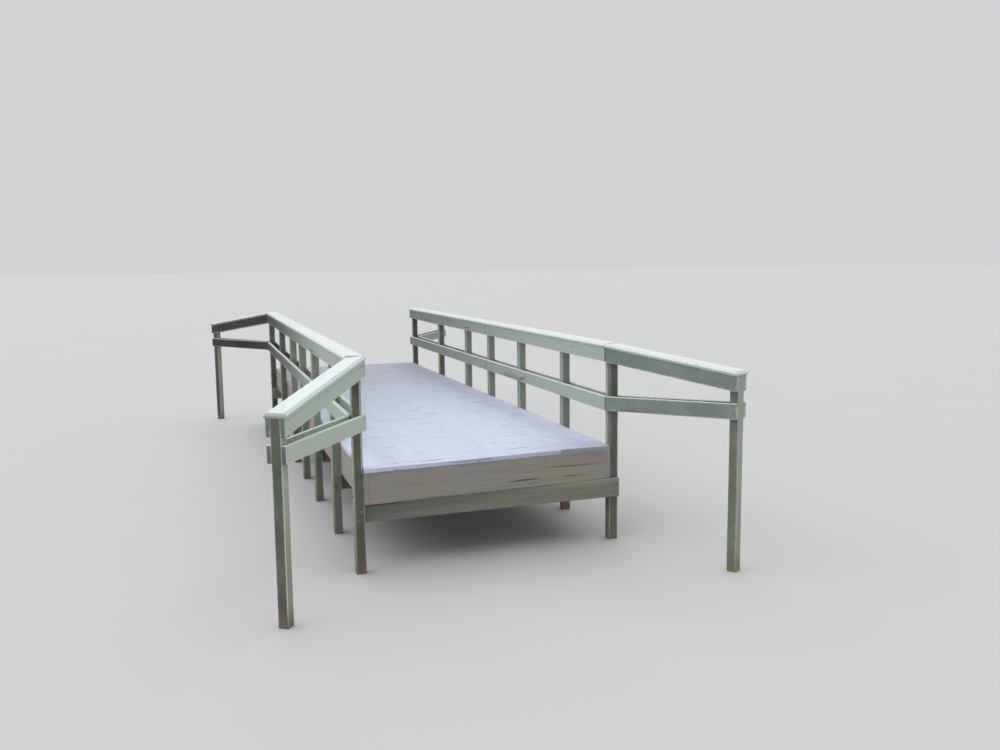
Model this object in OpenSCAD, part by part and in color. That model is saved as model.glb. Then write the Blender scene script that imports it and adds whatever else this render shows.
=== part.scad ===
// Timber footbridge on post legs, with flared end rails. Millimetres, Z up.
// X runs across the deck, Y runs along it, and the legs stand on z = 0.

/* [Deck] */
// Length of a deck board, which is the width of the deck
deck_w = 2438; // [1800:1:3600]
// Height of the walking surface over the lowest ground
deck_h = 950; // [700:5:1800]
// Width of one deck board
deck_board_w = 140; // [90:1:240]
// Thickness of a deck board
deck_board_t = 38; // [25:1:60]
// Least gap between deck boards
deck_gap = 3; // [1:0.5:10]
// Distance that the deck runs on past the centre of the corner posts
deck_over = 60; // [45:1:200]

/* [Bays] */
// First bay from the near end, between post centres
bay_1 = 1160; // [900:10:2000]
// Second bay
bay_2 = 1360; // [900:10:2000]
// Third bay
bay_3 = 1180; // [900:10:2000]
// Fourth bay
bay_4 = 1060; // [900:10:2000]
// Fifth bay
bay_5 = 1500; // [900:10:2000]
// Sixth bay, at the far end
bay_6 = 1820; // [900:10:2000]

/* [Timber] */
// Side of a square post
post_w = 89; // [70:1:140]
// Thickness of the rail boards
rail_t = 38; // [25:1:50]
// Depth of the rail boards
rail_d = 140; // [90:1:190]
// Width of the cap board
cap_w = 184; // [170:1:240]
// Thickness of the cap board
cap_t = 38; // [25:1:60]
// Chamfer round the top of the cap board
cap_chamfer = 22; // [4:1:24]
// Gap left at butt joints and mitres
joint_gap = 2; // [1:0.5:6]
// Thickness of stringers, headers and bearers
beam_t = 38; // [30:1:60]
// Depth of the stringers and headers
stringer_d = 286; // [140:1:300]
// Depth of the cross bearers
bearer_d = 184; // [120:1:240]

/* [Rails] */
// Height of the top of the cap over the deck
rail_h = 995; // [800:1:1200]
// Height of the underside of the middle rail over the deck
mid_rail_h = 339; // [200:1:500]
// Overhang of the cap past the end post of a wing
cap_over = 5; // [2:1:60]

/* [Near left wing] */
// Length of the wing between post centres
near_left_len = 1250; // [700:10:2000]
// Angle that the wing turns away from the deck
near_left_turn = 37; // [10:1:60]
// Fall of the cap from the corner to the end post
near_left_fall = 285; // [0:5:400]
// Fall of the middle rail from the corner to the end post
near_left_mid_fall = 20; // [-100:5:150]

/* [Near right wing] */
// Length of the wing between post centres
near_right_len = 1380; // [700:10:2000]
// Angle that the wing turns away from the deck
near_right_turn = 25; // [10:1:60]
// Fall of the cap from the corner to the end post
near_right_fall = 155; // [0:5:400]
// Fall of the middle rail from the corner to the end post
near_right_mid_fall = -75; // [-100:5:150]

/* [Far left wing] */
// Length of the wing between post centres
far_left_len = 1250; // [700:10:2000]
// Angle that the wing turns away from the deck
far_left_turn = 45; // [10:1:60]
// Fall of the cap from the corner to the end post
far_left_fall = 210; // [0:5:400]
// Fall of the middle rail from the corner to the end post
far_left_mid_fall = -30; // [-100:5:150]

/* [Far right wing] */
// Length of the wing between post centres
far_right_len = 1250; // [700:10:2000]
// Angle that the wing turns away from the deck
far_right_turn = 38; // [10:1:60]
// Fall of the cap from the corner to the end post
far_right_fall = 210; // [0:5:400]
// Fall of the middle rail from the corner to the end post
far_right_mid_fall = -30; // [-100:5:150]

/* [Hidden] */

PAINT = [0.64, 0.68, 0.63];
DECK_PAINT = [0.78, 0.80, 0.86];
RAW = [0.63, 0.57, 0.49];

// bays and the posts between them
bays = [bay_1, bay_2, bay_3, bay_4, bay_5, bay_6];
last_post = len(bays);
joint_post = 3;
function along(n) = n == 0 ? 0 : bays[n - 1] + along(n - 1);
span = along(last_post);

// heights over the ground
cap_top = deck_h + rail_h;
cap_under = cap_top - cap_t;
top_rail_z = cap_under - rail_d;
mid_rail_z = deck_h + mid_rail_h;
stringer_top = deck_h - deck_board_t;
stringer_z = stringer_top - stringer_d;
bearer_z = stringer_z - bearer_d;

// places across the deck, from its centre line
post_x = deck_w / 2 + post_w / 2;
face_x = post_w / 2 + rail_t;

// the first bearer passes before the near right post and behind the near left one,
// so the near end is skewed by the depth of a post and a bearer
near_skew = post_w + beam_t;
skew_slope = near_skew / (2 * post_x);
function near_line(x) = skew_slope * (x - post_x);

// deck boards fill the length with equal gaps
deck_len = span + 2 * deck_over;
board_count = floor((deck_len + deck_gap) / (deck_board_w + deck_gap));
board_pitch = (deck_len - deck_board_w) / (board_count - 1);
inner_stringer_count = 3;
stringer_pitch = (deck_w - beam_t) / (inner_stringer_count + 1);

// boards before the first whole one are cut to the skew and end in a blunt tip
taper_count = ceil(near_skew / board_pitch);
taper_tip = 25;
function taper_len(n) =
    deck_w / 2 + post_x - (n * board_pitch - deck_board_w + taper_tip) / skew_slope;

// a wing is [side, end, length, turn, fall of the cap, fall of the middle rail]
// where side is -1 on the left and end is -1 at the near end
near_left = [-1, -1, near_left_len, near_left_turn, near_left_fall, near_left_mid_fall];
near_right = [1, -1, near_right_len, near_right_turn, near_right_fall, near_right_mid_fall];
far_left = [-1, 1, far_left_len, far_left_turn, far_left_fall, far_left_mid_fall];
far_right = [1, 1, far_right_len, far_right_turn, far_right_fall, far_right_mid_fall];

function side_of(wing) = wing[0];
function end_of(wing) = wing[1];
function len_of(wing) = wing[2];
function turn_of(wing) = wing[3];
function corner_y(wing) = end_of(wing) < 0 ? near_line(side_of(wing) * post_x) : span;

// the slope starts at the mitre of the inner boards
function hinge_y(wing) = -face_x * tan(turn_of(wing) / 2);
function slope_of(wing, fall) = fall / (len_of(wing) - hinge_y(wing));
function top_slope(wing) = slope_of(wing, wing[4]);
function mid_slope(wing) = slope_of(wing, wing[5]);
function fallen(wing, z, slope, y) = z - slope * (y - hinge_y(wing));

// reach of the cap ends past the corner, which sets the box round the bridge
end_reach = post_w / 2 + cap_over;
function reach_out(wing) =
    (len_of(wing) + end_reach) * sin(turn_of(wing)) + cap_w / 2 * cos(turn_of(wing));
function reach_along(wing) =
    (len_of(wing) + end_reach) * cos(turn_of(wing)) + cap_w / 2 * sin(turn_of(wing));
x_mid = (max(reach_out(near_right), reach_out(far_right))
    - max(reach_out(near_left), reach_out(far_left))) / 2;
y_mid = (span + max(reach_along(far_left), reach_along(far_right))
    - max(near_skew + reach_along(near_left), reach_along(near_right))) / 2;

// stock larger than any rail, used to cut ends
stock = 2 * cap_w;

// moves the bridge so that the origin is under the middle of its box
module framed(tint) {
    color(tint) translate([-x_mid, -y_mid, 0]) children();
}

// places a piece drawn at a corner post, with +Y out past the end and +X outwards
module at_corner(wing) {
    translate([side_of(wing) * post_x, corner_y(wing), 0])
        mirror([side_of(wing) < 0 ? 1 : 0, 0, 0])
            mirror([0, end_of(wing) < 0 ? 1 : 0, 0])
                children();
}

// all that lies past the mitre plane of a corner, on the wing side
module past_mitre(wing) {
    rotate([0, 0, -turn_of(wing) / 2])
        translate([-stock, -joint_gap / 2, 0])
            cube([2 * stock, 2 * stock, 2 * cap_top]);
}

// all that lies before the mitre plane of a corner, on the bridge side
module before_mitre(wing) {
    rotate([0, 0, -turn_of(wing) / 2])
        translate([-stock, joint_gap / 2 - 2 * stock, 0])
            cube([2 * stock, 2 * stock, 2 * cap_top]);
}

// all that lies past the skewed near end of the deck, moved in by the inset
module past_near_end(inset) {
    translate([post_x, -deck_over, 0]) rotate([0, 0, atan(skew_slope)])
        translate([-2 * deck_w, inset - 2 * stock, 0])
            cube([3 * deck_w, 2 * stock, cap_top]);
}

// extrudes an outline drawn in (y, z) across x, from x to x + thick
module across(x, thick) {
    translate([x, 0, 0]) rotate([90, 0, 90]) linear_extrude(thick) children();
}

// cross section of the cap, with its top edges chamfered
module cap_section(height) {
    half = cap_w / 2;
    polygon([[-half, 0], [half, 0], [half, height - cap_chamfer],
        [half - cap_chamfer, height], [cap_chamfer - half, height],
        [-half, height - cap_chamfer]]);
}

// outline of a sloping board in (y, z), from y0 to y1, with plumb ends
module sloping_outline(wing, z, slope, depth, y0, y1) {
    upright = depth * sqrt(1 + slope * slope);
    polygon([[y0, fallen(wing, z, slope, y0)], [y1, fallen(wing, z, slope, y1)],
        [y1, fallen(wing, z, slope, y1) + upright],
        [y0, fallen(wing, z, slope, y0) + upright]]);
}

// boards of one side run from mitre to mitre and are joined over a post
module side_run(side) {
    difference() {
        children();
        at_corner(side < 0 ? near_left : near_right) past_mitre(side < 0 ? near_left : near_right);
        at_corner(side < 0 ? far_left : far_right) past_mitre(side < 0 ? far_left : far_right);
        translate([side * post_x - stock, along(joint_post) - joint_gap / 2, 0])
            cube([2 * stock, joint_gap, 2 * cap_top]);
    }
}

// a pair of level boards, one on each face of the posts
module side_boards(side, z) {
    framed(PAINT) side_run(side)
        for (x = [-face_x, post_w / 2])
            translate([side * post_x + x, -near_skew - stock / 2, z])
                cube([rail_t, span + near_skew + stock, rail_d]);
}

module side_cap(side) {
    framed(PAINT) side_run(side)
        translate([side * post_x, span + stock / 2, cap_under])
            rotate([90, 0, 0]) linear_extrude(span + near_skew + stock) cap_section(cap_t);
}

// post of the long sides, from the ground to the underside of the cap
module side_post(side, n) {
    framed(PAINT)
        translate([side * post_x - post_w / 2, along(n) - post_w / 2, 0])
            cube([post_w, post_w, cap_under]);
}

// post at a corner: its inner corner is planed flat behind the boards of the wing,
// and its top is cut to the sloping cap
module corner_post(wing) {
    framed(PAINT) at_corner(wing) difference() {
        translate([-post_w / 2, -post_w / 2, 0]) cube([post_w, post_w, cap_under]);
        rotate([0, 0, -turn_of(wing)])
            translate([-post_w / 2 - stock, hinge_y(wing) / 2 - stock, deck_h - deck_board_t])
                cube([stock, 2 * stock, cap_top]);
        intersection() {
            past_mitre(wing);
            rotate([0, 0, -turn_of(wing)]) across(-stock, 2 * stock)
                sloping_outline(wing, cap_under, top_slope(wing), stock, -stock, stock);
        }
    }
}

// post at the outer end of a wing, turned with it, its top cut to the cap
module wing_post(wing) {
    framed(PAINT) at_corner(wing) rotate([0, 0, -turn_of(wing)]) difference() {
        translate([-post_w / 2, len_of(wing) - post_w / 2, 0])
            cube([post_w, post_w, cap_under]);
        across(-stock, 2 * stock)
            sloping_outline(wing, cap_under, top_slope(wing), 2 * cap_top, 0, len_of(wing) + stock);
    }
}

// cuts what is drawn along +Y to start at the mitre of a corner
module wing_run(wing) {
    framed(PAINT) at_corner(wing) difference() {
        rotate([0, 0, -turn_of(wing)]) children();
        before_mitre(wing);
    }
}

// two sloping boards above and two below, on both faces of the posts
module wing_rails(wing) {
    end_y = len_of(wing) + post_w / 2;
    top_upright = rail_d * sqrt(1 + top_slope(wing) * top_slope(wing));
    wing_run(wing)
        for (x = [-face_x, post_w / 2]) across(x, rail_t) {
            sloping_outline(wing, cap_under - top_upright, top_slope(wing), rail_d, -stock / 2, end_y);
            sloping_outline(wing, mid_rail_z, mid_slope(wing), rail_d, -stock / 2, end_y);
        }
}

// sloping cap, chamfered along both edges and across its outer end
module wing_cap(wing) {
    slope = top_slope(wing);
    end_y = len_of(wing) + end_reach;
    end_z = fallen(wing, cap_under, slope, end_y);
    edge_z = end_z + cap_t * sqrt(1 + slope * slope) - cap_chamfer;
    wing_run(wing) intersection() {
        across(-stock, 2 * stock)
            polygon([[-stock, end_z - stock], [end_y, end_z - stock], [end_y, edge_z],
                [end_y - 2 * stock, edge_z + 2 * stock], [-stock, edge_z + 2 * stock]]);
        translate([0, hinge_y(wing), cap_under]) rotate([-atan(slope), 0, 0])
            translate([0, len_of(wing) + stock, 0])
                rotate([90, 0, 0]) linear_extrude(len_of(wing) + 2 * stock) cap_section(cap_t);
    }
}

module deck_boards() {
    framed(DECK_PAINT) {
        for (n = [0:board_count - 1])
            translate([-deck_w / 2, n * board_pitch - deck_over, stringer_top])
                cube([deck_w, deck_board_w, deck_board_t]);
        for (n = [1:taper_count])
            if (taper_len(n) > deck_board_w)
                difference() {
                    translate([-deck_w / 2, -n * board_pitch - deck_over, stringer_top])
                        cube([taper_len(n), deck_board_w, deck_board_t]);
                    past_near_end(0);
                }
    }
}

module outer_stringer(side) {
    framed(RAW) difference() {
        translate([side * (deck_w - beam_t) / 2 - beam_t / 2, -deck_over - near_skew, stringer_z])
            cube([beam_t, deck_len + near_skew, stringer_d]);
        past_near_end(0);
    }
}

module inner_stringers() {
    framed(RAW)
        for (n = [1:inner_stringer_count])
            difference() {
                translate([n * stringer_pitch - deck_w / 2, -deck_over - near_skew, stringer_z])
                    cube([beam_t, deck_len + near_skew - beam_t, stringer_d]);
                past_near_end(beam_t);
            }
}

// headers that close the ends of the inner stringers
module far_end_header() {
    framed(RAW)
        translate([beam_t - deck_w / 2, span + deck_over - beam_t, stringer_z])
            cube([deck_w - 2 * beam_t, beam_t, stringer_d]);
}

module near_end_header() {
    framed(RAW) difference() {
        intersection() {
            translate([beam_t - deck_w / 2, -deck_over - near_skew, stringer_z])
                cube([deck_w - 2 * beam_t, near_skew + 2 * beam_t, stringer_d]);
            past_near_end(beam_t);
        }
        past_near_end(0);
    }
}

// bearer bolted to the faces of a pair of posts, under the stringers
module bearer(n) {
    behind = n > 0 && n < joint_post;
    y = behind ? along(n) + post_w / 2 : along(n) - post_w / 2 - beam_t;
    framed(RAW)
        translate([-post_x - post_w / 2, y, bearer_z])
            cube([2 * post_x + post_w, beam_t, bearer_d]);
}

deck_boards();
outer_stringer(-1);  // left_outer_stringer
outer_stringer(1);  // right_outer_stringer
inner_stringers();
near_end_header();
far_end_header();
bearer(0);  // bearer_1
bearer(1);  // bearer_2
bearer(2);  // bearer_3
bearer(3);  // bearer_4
bearer(4);  // bearer_5
bearer(5);  // bearer_6
bearer(6);  // bearer_7
corner_post(near_left);  // left_post_1
side_post(-1, 1);  // left_post_2
side_post(-1, 2);  // left_post_3
side_post(-1, 3);  // left_post_4
side_post(-1, 4);  // left_post_5
side_post(-1, 5);  // left_post_6
corner_post(far_left);  // left_post_7
corner_post(near_right);  // right_post_1
side_post(1, 1);  // right_post_2
side_post(1, 2);  // right_post_3
side_post(1, 3);  // right_post_4
side_post(1, 4);  // right_post_5
side_post(1, 5);  // right_post_6
corner_post(far_right);  // right_post_7
side_boards(-1, top_rail_z);  // left_top_boards
side_boards(-1, mid_rail_z);  // left_mid_boards
side_cap(-1);  // left_cap
side_boards(1, top_rail_z);  // right_top_boards
side_boards(1, mid_rail_z);  // right_mid_boards
side_cap(1);  // right_cap
wing_post(near_left);  // near_left_wing_post
wing_rails(near_left);  // near_left_wing_rails
wing_cap(near_left);  // near_left_wing_cap
wing_post(near_right);  // near_right_wing_post
wing_rails(near_right);  // near_right_wing_rails
wing_cap(near_right);  // near_right_wing_cap
wing_post(far_left);  // far_left_wing_post
wing_rails(far_left);  // far_left_wing_rails
wing_cap(far_left);  // far_left_wing_cap
wing_post(far_right);  // far_right_wing_post
wing_rails(far_right);  // far_right_wing_rails
wing_cap(far_right);  // far_right_wing_cap
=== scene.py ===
"""Dresses the timber footbridge: eased and worn timber, deck boards, fasteners, paint and stage.

Lengths are in metres. X runs across the deck, Y along it to the far end and Z up from the ground.
"""
import math
import random
from collections import namedtuple

import bmesh
import bpy
from bpy.props import FloatProperty, FloatVectorProperty, IntProperty, PointerProperty
from mathutils import Matrix, Vector, noise


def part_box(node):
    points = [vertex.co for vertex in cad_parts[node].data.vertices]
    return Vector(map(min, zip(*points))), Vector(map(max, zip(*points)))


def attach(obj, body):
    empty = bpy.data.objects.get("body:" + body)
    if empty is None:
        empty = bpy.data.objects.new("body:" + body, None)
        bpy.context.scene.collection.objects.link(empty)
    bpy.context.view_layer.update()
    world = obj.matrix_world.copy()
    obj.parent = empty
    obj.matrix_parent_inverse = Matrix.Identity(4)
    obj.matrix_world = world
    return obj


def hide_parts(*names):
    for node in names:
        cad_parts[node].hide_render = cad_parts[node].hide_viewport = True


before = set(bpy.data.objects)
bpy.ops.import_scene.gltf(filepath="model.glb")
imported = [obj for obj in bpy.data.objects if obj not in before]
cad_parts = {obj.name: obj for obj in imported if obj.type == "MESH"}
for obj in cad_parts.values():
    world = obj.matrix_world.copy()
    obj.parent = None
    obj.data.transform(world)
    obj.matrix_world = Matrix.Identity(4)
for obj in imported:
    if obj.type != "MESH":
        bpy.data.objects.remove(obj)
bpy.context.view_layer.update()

bl_info = {
    "name": "Timber Footbridge",
    "version": (1, 0, 0),
    "blender": (4, 5, 0),
    "location": "View3D > Sidebar > Footbridge",
    "description": "Dresses a timber footbridge with worn boards, fasteners and weathered paint",
    "category": "Add Mesh",
}

BODY = "root"
SIDES = ("left", "right")
WINGS = ("near_left", "near_right", "far_left", "far_right")
POSTS_PER_SIDE = 7
SIDE_POSTS = [f"{side}_post_{n}" for side in SIDES for n in range(1, POSTS_PER_SIDE + 1)]
WING_POSTS = [f"{wing}_wing_post" for wing in WINGS]
RAIL_NODES = [f"{side}_{level}_boards" for side in SIDES for level in ("top", "mid")]
WING_RAIL_NODES = [f"{wing}_wing_rails" for wing in WINGS]
CAP_NODES = [f"{side}_cap" for side in SIDES] + [f"{wing}_wing_cap" for wing in WINGS]
BEARER_NODES = [f"bearer_{n}" for n in range(1, POSTS_PER_SIDE + 1)]
STRINGER_NODES = ["left_outer_stringer", "right_outer_stringer", "inner_stringers"]
HEADER_NODES = ["near_end_header", "far_end_header"]

POST_FINISH = "weathered_post_paint"
SLOT_FINISH = {
    "rail_paint": "weathered_sage_paint",
    "deck_paint": "scuffed_deck_paint",
    "raw_timber": "bare_grey_timber",
}

WELD = 0.0001
FLAT_ANGLE = math.radians(0.5)
SQUARE = 0.05


def merged_mesh(node):
    """A CAD node's mesh as a BMesh of joined, flat, many-sided faces."""
    solid = bmesh.new()
    solid.from_mesh(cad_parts[node].data)
    bmesh.ops.remove_doubles(solid, verts=solid.verts, dist=WELD)
    bmesh.ops.dissolve_limit(solid, angle_limit=FLAT_ANGLE, verts=solid.verts, edges=solid.edges)
    return solid


def joined_groups(solid):
    """Faces of a BMesh in groups that share edges, one group for each board."""
    seen = set()
    groups = []
    for start in solid.faces:
        if start in seen:
            continue
        seen.add(start)
        group = [start]
        for face in group:
            for edge in face.edges:
                for other in edge.link_faces:
                    if other not in seen:
                        seen.add(other)
                        group.append(other)
        groups.append(group)
    return groups


def node_solids(node):
    """Each board or post of a CAD node as a BMesh of its own."""
    whole = merged_mesh(node)
    solids = []
    for group in joined_groups(whole):
        solid = bmesh.new()
        copies = {}
        for face in group:
            for vert in face.verts:
                if vert not in copies:
                    copies[vert] = solid.verts.new(vert.co)
        for face in group:
            solid.faces.new([copies[vert] for vert in face.verts])
        solid.normal_update()
        solids.append(solid)
    whole.free()
    return solids


class Board:
    """Place, directions and half sizes of one straight board, from its longest edge."""

    def __init__(self, solid):
        longest = max(solid.edges, key=lambda edge: edge.calc_length())
        self.along = (longest.verts[1].co - longest.verts[0].co).normalized()
        if max(self.along, key=abs) < 0:
            self.along.negate()
        sides = [face for face in solid.faces if abs(face.normal.dot(self.along)) < SQUARE]
        wide = max(sides, key=lambda face: face.calc_area())
        self.through = wide.normal.normalized()
        self.across = self.through.cross(self.along)
        self.to_board = Matrix((self.along, self.across, self.through))
        spread = [self.to_board @ vert.co for vert in solid.verts]
        low = Vector([min(point[axis] for point in spread) for axis in range(3)])
        high = Vector([max(point[axis] for point in spread) for axis in range(3)])
        self.half = (high - low) / 2
        self.middle = self.to_board.transposed() @ ((high + low) / 2)

    def local(self, point):
        """A point as distances along, across and through the board from its middle."""
        return self.to_board @ (point - self.middle)

    def point(self, along, across, through):
        """A place on the board, given as distances from its middle."""
        return self.middle + self.along * along + self.across * across + self.through * through


def node_boards(node):
    """Every board of a CAD node, as Board."""
    boards = []
    for solid in node_solids(node):
        boards.append(Board(solid))
        solid.free()
    return boards


DECK_LOW, DECK_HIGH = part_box("deck_boards")
DECK_HALF = (DECK_HIGH.x - DECK_LOW.x) / 2


def is_whole(board):
    """Whether a deck board reaches from edge to edge and isn't cut to the skewed end."""
    return board.half.x > DECK_HALF - WELD


DECK_BOARDS = [board for board in node_boards("deck_boards") if is_whole(board)]
FIRST_Y = min(board.middle.y for board in DECK_BOARDS)
LAST_Y = max(board.middle.y for board in DECK_BOARDS)
BOARD_HALF = DECK_BOARDS[0].half
SWELLING = 0.0034
STRINGER_LOW, STRINGER_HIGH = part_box("left_outer_stringer")
BEAM_THICKNESS = STRINGER_HIGH.x - STRINGER_LOW.x


def metres(name, description, default, low=0.0):
    """A length that a user can change."""
    return FloatProperty(
        name=name, description=description, default=default, min=low, unit="LENGTH")


def angle(name, description, degrees):
    """An angle that a user can change."""
    return FloatProperty(
        name=name, description=description, default=math.radians(degrees), subtype="ANGLE")


def brightness(name, description, default):
    """The strength of a light that a user can change."""
    return FloatProperty(name=name, description=description, default=default, min=0.0)


def tint(name, description, default):
    """A colour that a user can change."""
    return FloatVectorProperty(
        name=name, description=description, default=default, min=0, max=1, subtype="COLOR")


class DeckSettings(bpy.types.PropertyGroup):
    """Sizes of the deck boards."""

    length: metres("Board length", "Length of a deck board across the bridge",
                   2 * BOARD_HALF.x, 0.5)
    width: metres("Board width", "Width of a deck board, swollen until the joints close",
                  2 * BOARD_HALF.y + SWELLING, 0.05)
    thickness: metres("Board thickness", "Thickness of a deck board", 2 * BOARD_HALF.z, 0.01)
    count: IntProperty(
        name="Boards", description="Number of deck boards", default=len(DECK_BOARDS), min=2)
    edge: metres("Edge radius", "Radius of the eased edges of a deck board", 0.0012, 0.0005)
    lift: metres("Uneven height", "How far boards sit under the highest one", 0.0010)
    skew: angle("Skew", "Most that a board turns from square across the deck", 0.010)
    short: metres("Uneven ends", "Most that a board's end stops short of the deck's edge", 0.004)
    cup: metres("Cupping", "How far the edges of a board curl over its middle", 0.0005)
    seed: IntProperty(name="Seed", description="Seed of the boards' small differences", default=7)


class TimberSettings(bpy.types.PropertyGroup):
    """How worn and crooked the sawn timber is."""

    post_edge: metres("Post edge radius", "Radius of the worn edges of the posts", 0.008, 0.001)
    rail_edge: metres("Rail edge radius", "Radius of the worn edges of the rail boards",
                      0.005, 0.001)
    cap_edge: metres("Cap edge radius", "Radius of the edges of the chamfered caps",
                     0.003, 0.0005)
    beam_edge: metres("Beam edge radius", "Radius of the edges of stringers and bearers",
                      0.004, 0.001)
    spacing: metres("Cut spacing", "Distance between the rings of points along a board",
                    0.12, 0.02)
    sway: metres("Sway", "How far the timber bows out of true", 0.003)
    sway_reach: metres("Sway reach", "Distance over which the timber bows", 1.3, 0.1)
    ding: metres("Edge wear", "Depth of the wear along the edges", 0.002)
    seed: IntProperty(
        name="Seed", description="Seed of the sway and of each board's tone", default=11, min=1)


class FastenerSettings(bpy.types.PropertyGroup):
    """Sizes of nails, screws, bolts and nuts."""

    nail: metres("Nail head", "Diameter of the nail heads in rails and caps", 0.0095, 0.002)
    screw: metres("Screw head", "Diameter of the screw heads in the deck", 0.0095, 0.002)
    bolt: metres("Bolt head", "Diameter of the round bolt heads on the posts", 0.027, 0.005)
    nut: metres("Nut", "Width of the nuts under the deck", 0.024, 0.005)
    washer: metres("Washer", "Diameter of the washers under the nuts", 0.038, 0.005)


class FinishSettings(bpy.types.PropertyGroup):
    """Colours of the paint, the timber and what has settled on them, some also laid as painted
    light and shade.
    """

    rail: tint("Rail paint", "Sage green paint of posts, rails and caps", (0.335, 0.385, 0.345))
    deck: tint("Deck paint", "Pale blue-grey paint of the deck", (0.415, 0.462, 0.572))
    # Also laid as painted shade towards the far end of the deck.
    worn_deck: tint("Worn deck", "Deck paint dulled by wear, grime and shade",
                    (0.228, 0.232, 0.285))
    drip: tint("Paint drips", "Drips of old deck paint on the stringers", (0.20, 0.18, 0.235))
    raw: tint("Bare timber", "Weathered timber without paint", (0.275, 0.255, 0.222))
    # Also laid as painted shade on the posts' faces turned from the light and low on the under
    # frame.
    algae: tint("Algae", "Olive growth and grime on shaded faces", (0.098, 0.106, 0.076))
    # Also laid as painted shade on the rails' faces turned from the light and on the caps' end
    # chamfers.
    rail_grime: tint("Rail grime", "Grey-green grime on the shaded faces of the rails",
                     (0.099, 0.124, 0.108))
    soil: tint("Soil", "Soil and dust at the feet and in the joints", (0.15, 0.115, 0.085))
    # Also laid as a painted highlight on the upright edges that face the near right.
    chalk: tint("Chalked paint", "Paint worn thin and chalky along the edges",
                (0.56, 0.60, 0.54))
    # Also laid as painted light on the faces that look up.
    bleach: tint("Bleached paint", "Paint that sun and rain have bleached from above",
                 (0.535, 0.588, 0.592))
    scrape: tint("Scraped timber", "Grey timber laid bare where the rail was scraped",
                 (0.135, 0.14, 0.145))
    zinc: tint("Zinc", "Galvanised coat of bolts and nuts", (0.20, 0.205, 0.20))
    rust: tint("Rust", "Rust on the fasteners", (0.19, 0.075, 0.03))


class StageSettings(bpy.types.PropertyGroup):
    """Where the camera stands, the floor and the lights."""

    eye: FloatVectorProperty(
        name="Camera", description="Place of the camera",
        default=(-2.5366, -11.7613, 2.7223), subtype="TRANSLATION", unit="LENGTH")
    turn: angle("Turn", "Turn of the view from straight along the deck to the right", 19.015)
    tilt: angle("Tilt", "How far the view tilts down", 7.0685)
    roll: angle("Roll", "Roll of the camera", -0.6677)
    lens: FloatProperty(
        name="Focal length", description="Focal length on a sensor 36 mm wide, in millimetres",
        default=32.306, min=10.0)
    floor_colour: tint("Floor", "Colour of the plain floor", (0.40, 0.405, 0.41))
    floor_radius: metres("Floor radius", "Radius of the round floor", 400.0, 20.0)
    key_strength: brightness("Key light", "Strength of the broad soft light overhead", 2.8)
    side_strength: brightness("Side light", "Strength of the soft light from the left", 0.35)
    sky: brightness("Sky light", "Strength of the even light from all round", 0.66)


class Reading:
    """What a node gives. Numbers and vectors can be added, subtracted, multiplied and divided."""

    def __init__(self, wiring, socket):
        self.wiring = wiring
        self.socket = socket

    def sum(self, operation, *terms):
        """Result of one sum on numbers, or on vectors where this is a vector."""
        kind = "ShaderNodeVectorMath" if self.socket.type == "VECTOR" else "ShaderNodeMath"
        return self.wiring.add(kind, dict(enumerate(terms)), operation=operation)

    def __add__(self, other):
        return self.sum("ADD", self, other)

    def __sub__(self, other):
        return self.sum("SUBTRACT", self, other)

    def __rsub__(self, other):
        return self.sum("SUBTRACT", other, self)

    def __mul__(self, other):
        return self.sum("MULTIPLY", self, other)

    def __truediv__(self, other):
        return self.sum("DIVIDE", self, other)

    def __abs__(self):
        return self.sum("ABSOLUTE", self)

    def least(self, other):
        """The lower of two numbers."""
        return self.sum("MINIMUM", self, other)

    def most(self, other):
        """The higher of two numbers."""
        return self.sum("MAXIMUM", self, other)

    def parts(self):
        """The three parts of a vector."""
        split = self.wiring.node("ShaderNodeSeparateXYZ", {0: self})
        return [Reading(self.wiring, socket) for socket in split.outputs]

    def fade(self, start, end, low=0.0, high=1.0):
        """Goes smoothly from low to high as the number goes from start to end."""
        return self.wiring.add("ShaderNodeMapRange", {0: self, 1: start, 2: end, 3: low, 4: high},
                               interpolation_type="SMOOTHSTEP")

    def scaled(self, none, full):
        """Goes smoothly from one number to another as a share goes from nothing to all."""
        return self.fade(0.0, 1.0, none, full)

    def noise(self, scale=1.0, detail=3.0, roughness=0.5, distortion=0.0):
        """Soft noise from 0 to 1 at a place."""
        return self.wiring.add("ShaderNodeTexNoise", {
            "Vector": self, "Scale": scale, "Detail": detail,
            "Roughness": roughness, "Distortion": distortion})


COLUMN_WIDTH = 200


class Wiring:
    """Adds nodes to one tree, each input given as a value or as the reading that feeds it."""

    def __init__(self, tree):
        self.tree = tree

    def join(self, value, socket):
        """Feeds a socket from a reading, or gives it a value."""
        if isinstance(value, Reading):
            self.tree.links.new(value.socket, socket)
        else:
            socket.default_value = value

    def node(self, kind, inputs=None, **settings):
        """A new node of that kind, set and wired."""
        node = self.tree.nodes.new(kind)
        node.location = (COLUMN_WIDTH * len(self.tree.nodes), 0)
        for name, value in settings.items():
            setattr(node, name, value)
        for key, value in (inputs or {}).items():
            self.join(value, node.inputs[key])
        return node

    def add(self, kind, inputs=None, output=0, **settings):
        """One output of a new node."""
        return Reading(self, self.node(kind, inputs, **settings).outputs[output])

    def combine(self, *parts):
        """A vector of up to three numbers. The rest are 0."""
        return self.add("ShaderNodeCombineXYZ", dict(enumerate(parts)))


def toned(colour, factor=1.0):
    """A colour made lighter or darker, as the four numbers that a socket takes."""
    return (*(min(1.0, part * factor) for part in colour), 1.0)


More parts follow.
